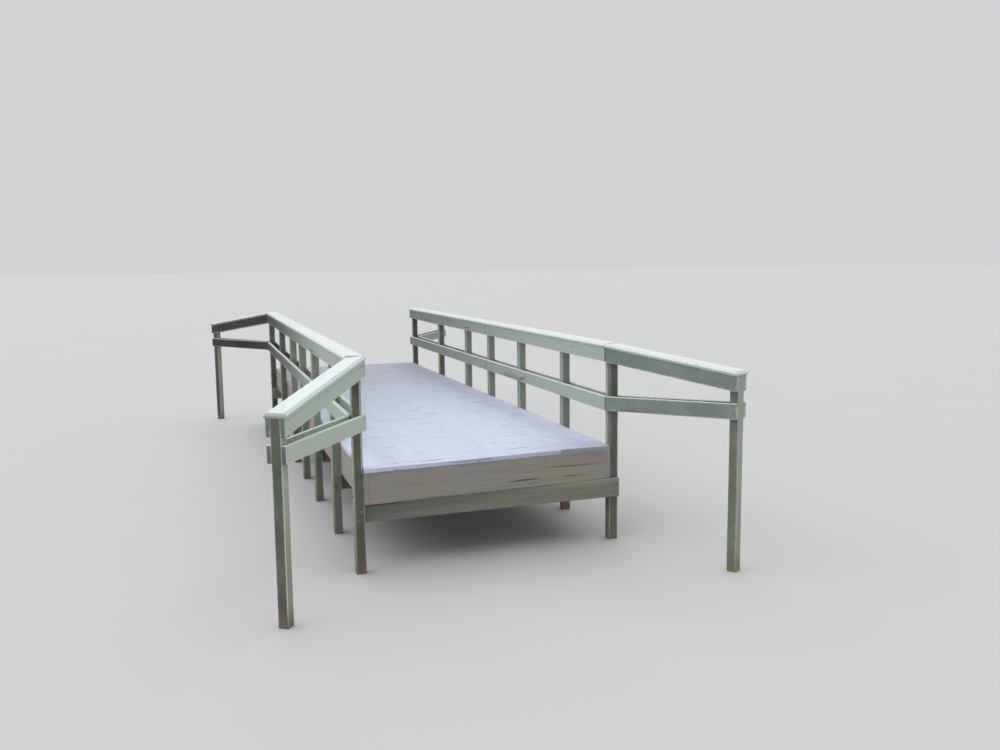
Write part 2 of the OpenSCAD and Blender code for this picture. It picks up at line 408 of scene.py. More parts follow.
class Finish(Wiring):
    """A material whose colour is laid coat over coat."""

    def __init__(self, name, colour):
        self.material = bpy.data.materials.new(name)
        self.material.use_nodes = True
        self.material.diffuse_color = toned(colour)
        super().__init__(self.material.node_tree)
        self.tree.nodes.clear()
        self.shader = self.node("ShaderNodeBsdfPrincipled")
        output = self.node("ShaderNodeOutputMaterial")
        self.tree.links.new(self.shader.outputs[0], output.inputs["Surface"])
        self.colour = toned(colour)
        self.world = self.add("ShaderNodeTexCoord", output="Object")

    def attribute(self, name, output="Fac"):
        """A named attribute of the piece."""
        return self.add("ShaderNodeAttribute", output=output, attribute_name=name)

    def facing(self):
        """The three parts of the direction that the surface faces."""
        return self.add("ShaderNodeNewGeometry", output="Normal").parts()

    def mix(self, share, first, second, blend="MIX"):
        """Blend of two colours."""
        return self.add("ShaderNodeMix", {0: share, 6: first, 7: second}, output=2,
                        data_type="RGBA", blend_type=blend)

    def ground(self, share, colour, darker, lighter):
        """The first coat, which goes from a darker to a lighter tone of its colour."""
        self.colour = self.mix(share, toned(colour, darker), toned(colour, lighter))

    def coat(self, share, colour, factor=1.0, blend="MIX"):
        """Lays a colour, toned by the factor, over the others, as thickly as its share."""
        self.colour = self.mix(share, self.colour, toned(colour, factor), blend)

    def finished(self, roughness, relief=None, depth=0.0, strength=1.0):
        """The material, with its coats, its roughness and a relief of that depth in metres."""
        self.join(self.colour, self.shader.inputs["Base Color"])
        self.join(roughness, self.shader.inputs["Roughness"])
        if relief is not None:
            bump = self.add("ShaderNodeBump", {
                "Height": relief, "Distance": depth, "Strength": strength})
            self.join(bump, self.shader.inputs["Normal"])
        return self.material


GRAIN = "grain_place"
HALF = "half_size"
TONE = "board_tone"
JOINT = "joint_distance"
# How far one board's stretch of grain may lie from another's.
GRAIN_SHIFT = (91.0, 37.0, 53.0)
# How far the cells of the noise lean along a bare board, so that they don't line up across it.
GRAIN_SLANT = 2.7

SCRAPE_PLACE = (1.237, -1.35, 1.325)
SCRAPE_REACH = (0.05, 0.60, 0.050)
# Colours multiplied over the rails as painted shade, at the far end and on the outer sides.
FAR_SHADE = (0.38, 0.38, 0.37)
OUTER_SHADE = (0.168, 0.174, 0.158)
SILVERED = (0.265, 0.262, 0.25)
DIAGONAL = 0.707
# Half widths between a rail board's and a cap's, which tell the two apart.
RAIL_HALF, CAP_HALF = 0.076, 0.086
# Distances from the middle of the bridge up to which its timber is dry and unshaded, and from
# which it is fully splashed with dirt and painted in shade. Towards the far end both are shorter
# by the shift.
DRY_UNSHADED_REACH, SPLASHED_SHADED_REACH, FAR_SHIFT = 2.2, 3.7, 0.9
# Widths that the joints of the middle rails and of the top rails are open.
LOW_GAP, TOP_GAP = 0.0020, 0.0050


class BoardFinish(Finish):
    """A finish that follows the grain of each board, every board with another stretch of it."""

    def __init__(self, name, colour):
        super().__init__(name, colour)
        self.tone = self.attribute(TONE)
        self.place = self.attribute(GRAIN, "Vector")
        self.grain = self.place + self.combine(self.tone, self.tone, self.tone) * GRAIN_SHIFT

    def grained(self, along, across, detail, roughness=0.5, distortion=0.0):
        """Noise that is drawn out along the grain, by its cells to a metre."""
        stretched = self.grain * (along, across, across)
        return stretched.noise(detail=detail, roughness=roughness, distortion=distortion)

    def edge_distance(self):
        """Distance to the nearest long edge of the board, along its surface."""
        x, y, z = (self.attribute(HALF, "Vector") - abs(self.place)).parts()
        return x + (y + z) - x.least(y.least(z)) - x.most(y.most(z))


def painted_rails(name, colours, age):
    """Sage paint on timber, with painted light and shade: lit and bleached on top, chalky and
    highlighted at the edges, olive and shaded on the faces turned from the light.

    The age goes from 0 on the rails to 1 on the posts, which are dirtier.
    """
    red, green, blue, _ = toned(colours.rail, 1.0 - 0.25 * age)
    base = (red, green, blue * (1.0 - 0.12 * age))
    paint = BoardFinish(name, base)
    x, y, height = paint.world.parts()
    to_right, to_far, upward = paint.facing()
    half_length, half_width, _ = paint.attribute(HALF, "Vector").parts()
    on_cap = half_width.fade(RAIL_HALF, CAP_HALF)
    from_end = half_length - abs(paint.place.parts()[0])
    from_joint = paint.attribute(JOINT)
    from_edge = paint.edge_distance()

    fibres = paint.grained(2.2, 95.0, 4.0)
    rings = paint.grained(0.9, 16.0, 2.0, distortion=0.6)
    knots = paint.grained(9.0, 24.0, 1.0)
    patches = paint.world.noise(2.3, 4.0, 0.6)
    streaks = (paint.world * (26.0, 26.0, 1.6)).noise()
    ragged = paint.world.noise(34.0, 3.0, 0.65)

    # The paint, with the grain that shows through it.
    paint.ground(patches, base, 0.93, 1.07)
    paint.coat(paint.tone * 0.5, base, 1.06)
    paint.coat(fibres.fade(0.42, 0.28, 0.0, 0.26), base, 0.62)
    paint.coat(rings.fade(0.52, 0.66, 0.0, 0.16), base, 0.80)
    paint.coat(streaks.fade(0.55, 0.75, 0.0, 0.18), base, 0.70)

    # Olive growth with painted shade on the faces turned from the light, darker below the deck,
    # and painted shade at the far end and on the outer sides.
    shade = to_right * -0.45 + to_far * -0.90
    from_middle = (y * -1.0).most(y + FAR_SHIFT)
    by_soil_and_shade = from_middle.fade(DRY_UNSHADED_REACH, SPLASHED_SHADED_REACH, 0.12 * age, 0.90 + 0.06 * age)
    damp_and_shade = shade.fade(0.45, 0.95) * by_soil_and_shade * on_cap.scaled(1.0, 0.20)
    low = height.fade(DECK_HIGH.z + 0.10, STRINGER_LOW.z - 0.25, 0.0, 0.62)
    growth_and_shade = colours.algae if age else colours.rail_grime
    paint.coat(damp_and_shade.most(low) * patches.fade(0.32, 0.66, 0.82, 1.10), growth_and_shade, 1.0 - 0.22 * age)
    # Painted shade, darker towards the far end.
    painted_far_shade = y.fade(DECK_LOW.y + 0.6, DECK_HIGH.y, 0.0, 0.95 - 0.78 * age)
    paint.coat(painted_far_shade, FAR_SHADE, blend="MULTIPLY")
    # Painted shade on the outer faces, most on the left side and towards the far end.
    outward = to_right * x.sum("SIGN", x)
    outer = outward.fade(0.3, 0.9) * y.fade(-3.6, 3.2, 0.0, 1.0 - 0.5 * age)
    paint.coat(outer * x.fade(-1.0, 1.0, 1.0, 0.55), OUTER_SHADE, blend="MULTIPLY")

    # Knots, the scraped place and drying checks.
    paint.coat(knots.fade(0.755, 0.775, 0.0, 0.40), base, 0.40)
    from_scrape = paint.add("ShaderNodeVectorMath", {
        0: (paint.world - SCRAPE_PLACE) / SCRAPE_REACH}, output="Value", operation="LENGTH")
    scratches = paint.grained(5.0, 40.0, 2.0, distortion=0.3)
    paint.coat(from_scrape.fade(1.0, 0.55) * scratches.fade(0.42, 0.62, 0.15, 1.0),
               colours.scrape)
    checks = rings.fade(0.325, 0.305) * fibres.fade(0.60, 0.40, 0.0, 0.9)
    paint.coat(checks, colours.soil, 0.45)

    # Tops lighter from bleaching and painted light from above, but not the chamfers at the caps'
    # free ends, which get painted shade, mostly on the left.
    end_cut = on_cap * from_end.fade(0.032, 0.024) * upward.fade(0.90, 0.80)
    end_cut = end_cut * x.fade(-0.5, 0.5, 1.0, 0.10) * from_joint.fade(0.10, 0.30)
    above = upward.fade(0.35, 0.75) * end_cut.scaled(1.0, 0.10)
    paint.coat(above * ragged.fade(0.30, 0.62, 0.99, 0.80), colours.bleach)
    lichen = above * streaks.fade(0.60, 0.70, 0.0, 0.24)
    paint.coat(lichen, colours.rail, 0.60)

    # Chalky worn edges, dark end grain, painted shade on the end chamfers of the caps, and a
    # painted highlight on the upright edges that face the near right.
    worn = (from_edge - ragged * 0.022).fade(0.0, -0.009, 0.0, 0.75 - 0.35 * age)
    paint.coat(worn * from_end.fade(0.0, 0.012, 0.12, 1.0), colours.chalk)
    end_grain = from_end.fade(0.0035, 0.0005, 0.0, 0.85) * on_cap.scaled(1.0, 0.0)
    paint.coat(end_grain, colours.algae)
    # Painted shade on the end chamfers of the caps, mostly on the left.
    paint.coat(end_cut * 0.35, colours.rail_grime)
    # Painted highlight in chalk tone on the rounded upright edges between the near and right
    # faces.
    corner = to_right * DIAGONAL - to_far * DIAGONAL
    lit = from_edge.fade(0.012, 0.004, 0.32 - 0.12 * age, 0.45 + 0.45 * age)
    paint.coat(corner.fade(0.725, 0.82) * lit, colours.chalk, 1.15)

    # Dirt with painted shade in the occluded nooks, dirt in the joints and at the feet.
    nook = paint.add("ShaderNodeAmbientOcclusion", {"Distance": 0.03}, output="AO", samples=6)
    grime_and_shade = nook.fade(0.70, 0.20, 0.0, 0.40) * ragged.fade(0.25, 0.65, 0.45, 1.0)
    paint.coat(grime_and_shade, colours.soil)
    gap = height.fade(1.50, 1.65, LOW_GAP, TOP_GAP)
    joint = (from_joint - gap).fade(0.0030, 0.0005) * on_cap.scaled(0.95, 0.20)
    paint.coat(joint, colours.algae, 0.35)
    foot = height.fade(0.20, 0.0, 0.0, 0.8) * patches.fade(0.25, 0.6, 0.4, 1.0)
    paint.coat(foot, colours.soil)

    relief = fibres * 0.7 + ragged * 0.3 - checks
    return paint.finished(patches.fade(0.3, 0.7, 0.50, 0.72), relief, 0.0012, 0.7)


def painted_deck(name, colours):
    """Pale paint on the deck boards, scuffed along the grain, with thin drying checks, painted
    shade towards the far end and painted light at the near left.
    """
    paint = BoardFinish(name, colours.deck)
    x, y, _ = paint.world.parts()
    upward = paint.facing()[2]
    from_line = abs(paint.place.parts()[1])

    fibres = paint.grained(1.6, 120.0, 4.0)
    bands = paint.grained(0.8, 22.0, 3.0, distortion=0.4)
    scuffs = paint.grained(5.0, 30.0, 2.0, distortion=0.3)
    dashes = paint.grained(3.4, 44.0, 1.0)
    patches = paint.world.noise(1.1, 5.0, 0.62)
    specks = paint.world.noise(30.0, 1.0)
    cracks = (paint.grain * (4.2, 6.0, 0.0)).noise(detail=2.0)

    # The paint, with the grain that shows through it.
    paint.ground(patches, colours.deck, 0.94, 1.05)
    paint.coat(paint.tone * 0.5, colours.deck, 1.04)
    paint.coat(fibres.fade(0.44, 0.30, 0.0, 0.20), colours.deck, 0.64)
    paint.coat(bands.fade(0.54, 0.70, 0.0, 0.12), colours.deck, 0.78)
    # Painted shade towards the far end, painted light at the near left corner and darker at the
    # near right.
    painted_far_shade = y.fade(DECK_LOW.y + 0.8, DECK_HIGH.y - 1.0, 0.0, 0.78)
    paint.coat(painted_far_shade, colours.worn_deck)
    painted_light_near_left = x.fade(0.1, DECK_LOW.x, 0.0, 0.8) * y.fade(-1.0, DECK_LOW.y + 0.4)
    paint.coat(painted_light_near_left, colours.deck, 1.32)
    darker_near_right = x.fade(0.2, 1.1, 0.0, 0.40) * y.fade(-3.3, -4.0)
    paint.coat(darker_near_right, colours.worn_deck)
    # Scuffs, dark dashes along the grain, drying checks and specks.
    paint.coat(scuffs.fade(0.66, 0.70, 0.0, 0.50), colours.worn_deck, 0.75)
    paint.coat(dashes.fade(0.72, 0.74, 0.0, 0.95) * patches.fade(0.38, 0.58, 0.35, 1.0),
               colours.worn_deck, 0.50)
    checks = bands.fade(0.345, 0.31) * fibres.fade(0.60, 0.42, 0.0, 0.70)
    paint.coat(checks, colours.soil)
    paint.coat(specks.fade(0.775, 0.80, 0.0, 0.8), colours.soil)

    # Closed joints between the boards, open here and there, and the bare underside.
    beside_joint = from_line.fade(BOARD_HALF.y - 0.0150, BOARD_HALF.y - 0.0060)
    seam = beside_joint * cracks.fade(0.63, 0.66, 0.0, 0.95) * upward.fade(0.2, 0.6)
    hairline = from_line.fade(BOARD_HALF.y - 0.0008, BOARD_HALF.y + 0.0014, 0.0, 0.28)
    paint.coat(seam.most(hairline), colours.worn_deck, 0.38)
    paint.coat(upward.fade(-0.3, -0.8, 0.0, 0.9), colours.raw)

    relief = fibres * 0.8 - checks * 0.8
    return paint.finished(patches.fade(0.3, 0.7, 0.62, 0.80), relief, 0.0014, 0.8)


def raw_timber(name, colours):
    """Weathered timber: open grain, knots and checks, with drips of deck paint from above."""
    timber = BoardFinish(name, colours.raw)
    along, across, through = timber.grain.parts()
    timber.grain = timber.combine(along + (across + through) * GRAIN_SLANT, across, through)
    x, y, height = timber.world.parts()
    level = timber.combine(x, y)
    below_top = STRINGER_HIGH.z - height

    fibres = timber.grained(1.7, 110.0, 5.0, roughness=0.6)
    rings = timber.grained(0.7, 13.0, 2.0, distortion=1.2)
    patches = timber.world.noise(1.7, 4.0, 0.6)
    thin = level.noise(34.0, 1.0)
    wide = level.noise(2.6, 3.0)
    weep = (timber.world * (30.0, 30.0, 1.1)).noise(detail=4.0, roughness=0.6)

    # The wood, silvered in patches, with damp and painted shade darkening its lowest part.
    timber.ground(rings, colours.raw, 0.75, 1.25)
    timber.coat(patches.fade(0.35, 0.7, 0.0, 0.55), SILVERED)
    timber.coat(fibres.fade(0.47, 0.30, 0.0, 0.50), colours.raw, 0.45)
    checks = rings.fade(0.335, 0.30) * fibres.fade(0.62, 0.40, 0.0, 0.9)
    timber.coat(checks, colours.soil, 0.35)
    damp_and_shade = height.fade(STRINGER_LOW.z + 0.06, STRINGER_LOW.z - 0.10, 0.0, 0.45)
    timber.coat(damp_and_shade, colours.algae)
    # Stains and drips of deck paint that run down from the top edge.
    stained = weep.fade(0.50, 0.74, 0.0, 0.30) * below_top.fade(0.03, 0.22, 1.0, 0.15)
    timber.coat(stained, colours.raw, 0.55)
    run_length = thin.fade(0.56, 0.82, 0.04, 0.24) * wide.fade(0.44, 0.68, 0.05, 1.0)
    drip = (below_top - run_length).fade(0.004, -0.012, 0.0, 0.60)
    timber.coat(drip, colours.drip)

    relief = fibres - checks * 0.9
    return timber.finished(drip.scaled(0.86, 0.6), relief, 0.0022, 0.9)


def painted_heads(name, colours, paint):
    """Fastener heads under old paint that rust has started to lift."""
    heads = Finish(name, paint)
    heads.colour = toned(paint, 0.85)
    mottle = heads.world.noise(180.0, 3.0)
    bare = heads.world.noise(3.1, 2.0).fade(0.50, 0.66, 0.05, 0.60)
    heads.coat(bare * mottle.fade(0.35, 0.6, 0.5, 1.0), colours.rust)
    return heads.finished(mottle.fade(0.3, 0.7, 0.55, 0.85), mottle, 0.0003, 0.6)


def zinc_coat(name, colours):
    """Dull galvanised steel with rust that creeps in at the edges."""
    steel = Finish(name, colours.zinc)
    spangle = steel.add("ShaderNodeTexVoronoi", {"Vector": steel.world, "Scale": 260.0})
    creep = steel.world.noise(42.0, 4.0, 0.65)
    rust = creep.fade(0.50, 0.62, 0.0, 0.85)
    steel.ground(spangle, colours.zinc, 0.8, 1.2)
    steel.coat(rust, colours.rust)
    steel.join(rust.scaled(0.7, 0.1), steel.shader.inputs["Metallic"])
    return steel.finished(rust.scaled(0.42, 0.9), creep, 0.0004, 0.6)


def finish_named(context, name):
    """The material of that name, made the first time it is asked for."""
    colours = context.scene.footbridge_finish
    makers = {
        "weathered_sage_paint": lambda: painted_rails(name, colours, 0.0),
        "weathered_post_paint": lambda: painted_rails(name, colours, 1.0),
        "scuffed_deck_paint": lambda: painted_deck(name, colours),
        "bare_grey_timber": lambda: raw_timber(name, colours),
        "painted_nails": lambda: painted_heads(name, colours, colours.rail),
        "painted_screws": lambda: painted_heads(name, colours, colours.deck),
        "galvanised_steel": lambda: zinc_coat(name, colours),
    }
    return bpy.data.materials.get(name) or makers[name]()


FAR_FROM_JOINT = 1.0


class Stock:
    """Collects the boards of one piece, with what its finish reads at each point."""

    READINGS = ((GRAIN, "FLOAT_VECTOR", "vector"), (HALF, "FLOAT_VECTOR", "vector"),
                (TONE, "FLOAT", "value"), (JOINT, "FLOAT", "value"))

    def __init__(self):
        self.points = []
        self.faces = []
        self.rounded = []
        self.readings = {label: [] for label, kind, field in self.READINGS}

    def add(self, solid, board, rounded, tone, shape, joints):
        """Takes in one solid. The shape gives each vertex its final place."""
        # The bevel gives its points in another order on every run, so they are sorted.
        order = {}
        for vert in sorted(solid.verts, key=lambda vert: vert.co[:]):
            order[vert] = len(self.points)
            self.points.append(shape(vert))
            self.readings[GRAIN].extend(board.local(vert.co))
            self.readings[HALF].extend(board.half)
            self.readings[TONE].append(tone)
            self.readings[JOINT].append(min([abs((vert.co - middle).dot(normal))
                                             for middle, normal in joints],
                                            default=FAR_FROM_JOINT))
        faces = []
        for face in solid.faces:
            corners = [order[vert] for vert in face.verts]
            start = corners.index(min(corners))
            faces.append((corners[start:] + corners[:start], face[rounded] == 1))
        for corners, is_rounded in sorted(faces):
            self.faces.append(corners)
            self.rounded.append(is_rounded)

    def mesh(self, name):
        """The boards as one mesh with its attributes."""
        mesh = bpy.data.meshes.new(name)
        mesh.from_pydata(self.points, [], self.faces)
        mesh.polygons.foreach_set("use_smooth", self.rounded)
        for label, kind, field in self.READINGS:
            mesh.attributes.new(label, kind, "POINT").data.foreach_set(
                field, self.readings[label])
        mesh.update()
        return mesh


EDGE_SEGMENTS = 3
# Points nearer to an edge than this many radii are worn.
WORN_RADII = 1.5
DENTS_PER_METRE = 9.0
DENT_BIAS = 0.1


def ease_edges(solid, radius):
    """Rounds every edge of a solid and marks the rounded faces."""
    rounded = solid.faces.layers.int.new("rounded")
    made = bmesh.ops.bevel(
        solid, geom=list(solid.edges), offset=radius, offset_type="OFFSET",
        segments=EDGE_SEGMENTS, profile=0.5, affect="EDGES", clamp_overlap=True)
    for face in made["faces"]:
        face[rounded] = 1
    return rounded


def cut_rings(solid, board, spacing):
    """Cuts rings round a board at about the spacing, so that it can bow and wear."""
    length = 2 * board.half.x
    count = int(length / spacing)
    for n in range(1, count):
        bmesh.ops.bisect_plane(
            solid, geom=solid.verts[:] + solid.edges[:] + solid.faces[:],
            plane_co=board.point(length * n / count - board.half.x, 0, 0),
            plane_no=board.along, dist=WELD / 10)


def swayed(point, timber):
    """A point moved a little, the same for all the timber that meets there."""
    drift = noise.noise_vector(point / timber.sway_reach)
    lift = drift.z / 3 * min(1.0, max(0.0, point.z))
    return point + Vector((drift.x, drift.y, lift)) * timber.sway


def worn_shape(board, timber, radius):
    """Gives each vertex its place once the timber has bowed and its edges have worn."""
    # Without a seed, noise_vector changes from run to run.
    noise.seed_set(timber.seed)

    def shape(vert):
        inward = sorted(half - abs(part) for half, part in zip(board.half, board.local(vert.co)))
        dent = 0.0
        if inward[1] < radius * WORN_RADII:
            dent = timber.ding * max(0.0, noise.noise(vert.co * DENTS_PER_METRE) + DENT_BIAS)
        return swayed(vert.co - vert.normal * dent, timber)
    return shape


def finish_piece(piece, material, slot, *nodes):
    """Paints a piece, fixes it to the bridge and hides the CAD nodes that it stands in for."""
    piece.data.materials.clear()
    piece.data.materials.append(material)
    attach(piece, BODY)
    if nodes:
        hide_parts(*nodes)


END_FACING = 0.3
JOINT_REACH = 0.03


def end_planes(solid, board):
    """A point and the normal of each upright face that ends a board."""
    return [(face.calc_center_median(), face.normal.copy()) for face in solid.faces
            if abs(face.normal.dot(board.along)) > END_FACING and abs(face.normal.z) < END_FACING]


def all_end_planes():
    """The end planes of every rail board and cap."""
    planes = []
    for node in RAIL_NODES + WING_RAIL_NODES + CAP_NODES:
        for solid in node_solids(node):
            planes += end_planes(solid, Board(solid))
            solid.free()
    return planes


ALL_END_PLANES = all_end_planes()


def joint_planes(solid, board):
    """The end planes of a board that meet the end of another board."""
    return [(middle, normal) for middle, normal in end_planes(solid, board)
            if any((other - middle).length < JOINT_REACH and normal.dot(way) < -END_FACING
                   for other, way in ALL_END_PLANES)]


def add_worn(stock, solid, timber, radius, tone):
    """Rounds, bows and wears one solid and takes it into the stock."""
    board = Board(solid)
    joints = joint_planes(solid, board)
    rounded = ease_edges(solid, radius)
    cut_rings(solid, board, timber.spacing)
    solid.normal_update()
    stock.add(solid, board, rounded, tone, worn_shape(board, timber, radius), joints)
    solid.free()


def linked_object(context, name, mesh):
    """A new object in the scene."""
    piece = bpy.data.objects.new(name, mesh)
    context.scene.collection.objects.link(piece)
    return piece


def dress_nodes(context, nodes, edge, slot, finish=None):
    """Makes the worn timber of each CAD node in its place, with the edge of that setting."""
    timber = context.scene.footbridge_timber
    radius = getattr(timber, edge)
    material = finish_named(context, finish or SLOT_FINISH[slot])
    for node in nodes:
        tones = random.Random(f"{timber.seed} {node}")
        stock = Stock()
        for solid in node_solids(node):
            add_worn(stock, solid, timber, radius, tones.random())
        name = f"{node}_timber"
        finish_piece(linked_object(context, name, stock.mesh(name)), material, slot, node)


class PieceTree(Wiring):
    """A Geometry Nodes tree with named inputs, which makes one piece in its material."""

    def __init__(self, name, inputs):
        super().__init__(bpy.data.node_groups.new(name, "GeometryNodeTree"))
        self.sockets = {}
        for label, kind, value in inputs:
            socket = self.tree.interface.new_socket(
                label, in_out="INPUT", socket_type=f"NodeSocket{kind}")
            if value is not None:
                socket.default_value = value
            self.sockets[label] = socket.identifier
        self.tree.interface.new_socket(
            "Geometry", in_out="OUTPUT", socket_type="NodeSocketGeometry")
        source = self.node("NodeGroupInput")
        self.given = {label: Reading(self, source.outputs[label]) for label in self.sockets}

    def end(self, laid):
        """Turns the laid copies into one shape of its own, in the piece's material."""
        whole = self.add("GeometryNodeRealizeInstances", {"Geometry": laid})
        whole = self.add("GeometryNodeSetMaterial", {
            "Geometry": whole, "Material": self.given["Material"]})
        self.join(whole, self.node("NodeGroupOutput").inputs[0])

    def run(self, context, piece, values):
        """Runs the tree on a piece with those inputs and keeps the result as a plain mesh."""
        modifier = piece.modifiers.new(self.tree.name, "NODES")
        modifier.node_group = self.tree
        for label, value in values.items():
            modifier[self.sockets[label]] = value
        piece.update_tag()
        context.view_layer.update()
        evaluated = piece.evaluated_get(context.evaluated_depsgraph_get())
        mesh = bpy.data.meshes.new_from_object(evaluated)
        mesh.name = piece.name
        piece.modifiers.clear()
        piece.data = mesh


CORNER_POINTS = 3
POINTS_ALONG_BOARD = 16


def deck_tree():
    """Boards laid side by side along Y, each a little different from the next."""
    tree = PieceTree("deck_board_row", (
        ("Length", "Float", 2.4), ("Width", "Float", 0.14), ("Thickness", "Float", 0.038),
        ("Edge", "Float", 0.004), ("Count", "Int", 10), ("Start", "Vector", (0, 0, 0)),
        ("Pitch", "Float", 0.143), ("Lift", "Float", 0.002), ("Skew", "Float", 0.0),
        ("Short", "Float", 0.004), ("Cup", "Float", 0.001), ("Seed", "Int", 0),
        ("Material", "Material", None)))
    given = tree.given

    def spread(low, high, offset):
        """A number for each board between two others."""
        return tree.add("FunctionNodeRandomValue", {
            2: low, 3: high, "Seed": given["Seed"] + offset}, output=1, data_type="FLOAT")

    outline = tree.add("GeometryNodeCurvePrimitiveQuadrilateral", {
        "Width": given["Width"], "Height": given["Thickness"]})
    outline = tree.add("GeometryNodeFilletCurve", {
        "Curve": outline, "Radius": given["Edge"], "Count": CORNER_POINTS,
        "Limit Radius": True}, mode="POLY")
    half_length = given["Length"] / 2.0
    line = tree.add("GeometryNodeCurvePrimitiveLine", {
        "Start": tree.combine(half_length * -1.0), "End": tree.combine(half_length)})
    line = tree.add("GeometryNodeResampleCurve", {"Curve": line, "Count": POINTS_ALONG_BOARD})
    board = tree.add("GeometryNodeCurveToMesh", {
        "Curve": line, "Profile Curve": outline, "Fill Caps": True})

    place = tree.add("GeometryNodeInputPosition")
    half = tree.combine(given["Length"], given["Width"], given["Thickness"]) * (0.5, 0.5, 0.5)
    for name, value in ((GRAIN, place), (HALF, half)):
        board = tree.add("GeometryNodeStoreNamedAttribute", {
            "Geometry": board, "Name": name, "Value": value},
            data_type="FLOAT_VECTOR", domain="POINT")
    across = place.parts()[1] / (given["Width"] / 2.0)
    curl = (1.0 - across * across) * (given["Cup"] * -1.0)
    board = tree.add("GeometryNodeSetPosition", {
        "Geometry": board, "Offset": tree.combine(0.0, 0.0, curl)})

    row = tree.add("GeometryNodeMeshLine", {
        "Count": given["Count"], "Start Location": given["Start"],
        "Offset": tree.combine(0.0, given["Pitch"])}, mode="OFFSET")
    turn = spread(given["Skew"] * -1.0, given["Skew"], 1)
    shrink = spread(0.0, given["Short"], 2) / half_length
    laid = tree.add("GeometryNodeInstanceOnPoints", {
        "Points": row, "Instance": board, "Scale": tree.combine(1.0 - shrink, 1.0, 1.0),
        "Rotation": tree.combine(0.0, 0.0, turn)})
    drop = spread(given["Lift"] * -1.0, 0.0, 3)
    slide = given["Short"] * 0.5
    laid = tree.add("GeometryNodeTranslateInstances", {
        "Instances": laid,
        "Translation": tree.combine(spread(slide * -1.0, slide, 4), 0.0, drop)})
    laid = tree.add("GeometryNodeStoreNamedAttribute", {
        "Geometry": laid, "Name": TONE, "Value": spread(0.0, 1.0, 5)},
        data_type="FLOAT", domain="INSTANCE")
    tree.end(laid)
    return tree


FACING = "facing"


def head_tree():
    """A low round or six-sided head on every point, turned to face out of the timber."""
    tree = PieceTree("fastener_heads", (
        ("Points", "Geometry", None), ("Diameter", "Float", 0.01), ("Height", "Float", 0.002),
        ("Top", "Float", 0.6), ("Sides", "Int", 10), ("Seed", "Int", 0),
        ("Material", "Material", None)))
    given = tree.given
    radius = given["Diameter"] / 2.0
    head = tree.add("GeometryNodeMeshCone", {
        "Vertices": given["Sides"], "Side Segments": 1, "Radius Top": radius * given["Top"],
        "Radius Bottom": radius, "Depth": given["Height"]})
    facing = tree.add("GeometryNodeInputNamedAttribute", {"Name": FACING},
                      data_type="FLOAT_VECTOR")
    turned = tree.add("FunctionNodeAlignRotationToVector", {"Vector": facing}, axis="Z")
    spin = tree.add("FunctionNodeRandomValue", {2: 0.0, 3: math.tau, "Seed": given["Seed"]},
                    output=1, data_type="FLOAT")
    own_spin = tree.add("FunctionNodeAxisAngleToRotation", {"Axis": (0, 0, 1), "Angle": spin})
    turned = tree.add("FunctionNodeRotateRotation", {
        "Rotation": turned, "Rotate By": own_spin}, rotation_space="LOCAL")
    tree.end(tree.add("GeometryNodeInstanceOnPoints", {
        "Points": given["Points"], "Instance": head, "Rotation": turned}))
    return tree


HeadShape = namedtuple("HeadShape", "height top sides")
NAIL = HeadShape(height=0.003, top=0.55, sides=10)
SCREW = HeadShape(height=0.0024, top=0.75, sides=8)
BOLT = HeadShape(height=0.012, top=0.45, sides=20)
WASHER = HeadShape(height=0.006, top=0.98, sides=24)
NUT = HeadShape(height=0.026, top=0.98, sides=6)
SPIN_SEED = 3
NAIL_SEED = 5


def fastener_piece(context, name, spots, finish, slot, diameter, shape):
    """Heads of one kind of fastener at all their spots, as one piece."""
    if not spots:
        raise RuntimeError(f"{name} has no place on the bridge")
    mesh = bpy.data.meshes.new(name)
    mesh.from_pydata([place for place, way in spots], [], [])
    mesh.attributes.new(FACING, "FLOAT_VECTOR", "POINT").data.foreach_set(
        "vector", [part for place, way in spots for part in way])
    piece = linked_object(context, name, mesh)
    material = finish_named(context, finish)
    tree = head_tree()
    tree.run(context, piece, {
        "Diameter": diameter, "Height": shape.height, "Top": shape.top, "Sides": shape.sides,
        "Seed": SPIN_SEED, "Material": material})
    bpy.data.node_groups.remove(tree.tree)
    finish_piece(piece, material, slot)


UP = Vector((0, 0, 1))
NAIL_INSET = 0.035
# Shares of a board's half width at which its nails or screws stand from its middle line.
RAIL_NAILS_APART = 0.5
CAP_NAILS_APART = 0.35
SCREWS_APART = 0.55
SCREW_DEPTH = 0.0012
# Most that a nail or screw strays along and across the boards that it holds.
NAIL_STRAY = (0.006, 0.004)
SCREW_STRAY = (0.007, 0.005)
# Shares of a beam's depth at which its two bolts stand, and their shifts from the post's middle.
BOLT_HEIGHTS = (0.28, 0.72)
STRINGER_BOLT_SHIFTS = (-0.016, 0.016)
BEARER_BOLT_SHIFTS = (-0.015, 0.015)


def board_spots(board, station, away, apart, jitter):
    """Two nail places across one board at a distance along it, on the face that points away."""
    side = 1.0 if board.through.dot(away) > 0 else -1.0
    spots = []
    for share in (-apart, apart):
        along, across = (jitter.uniform(-stray, stray) for stray in NAIL_STRAY)
        place = board.point(station + along, share * board.half.y + across, side * board.half.z)
        spots.append((place, board.through * side))
    return spots


def rail_board_spots(board, station, away, jitter):
    """Two nail places on a rail board at a post, kept clear of the board's ends."""
    limit = board.half.x - NAIL_INSET
    return board_spots(board, max(-limit, min(limit, station)), away, RAIL_NAILS_APART, jitter)


def middle_of(node):
    """The middle of a CAD node's box."""
    low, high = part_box(node)
    return (low + high) / 2


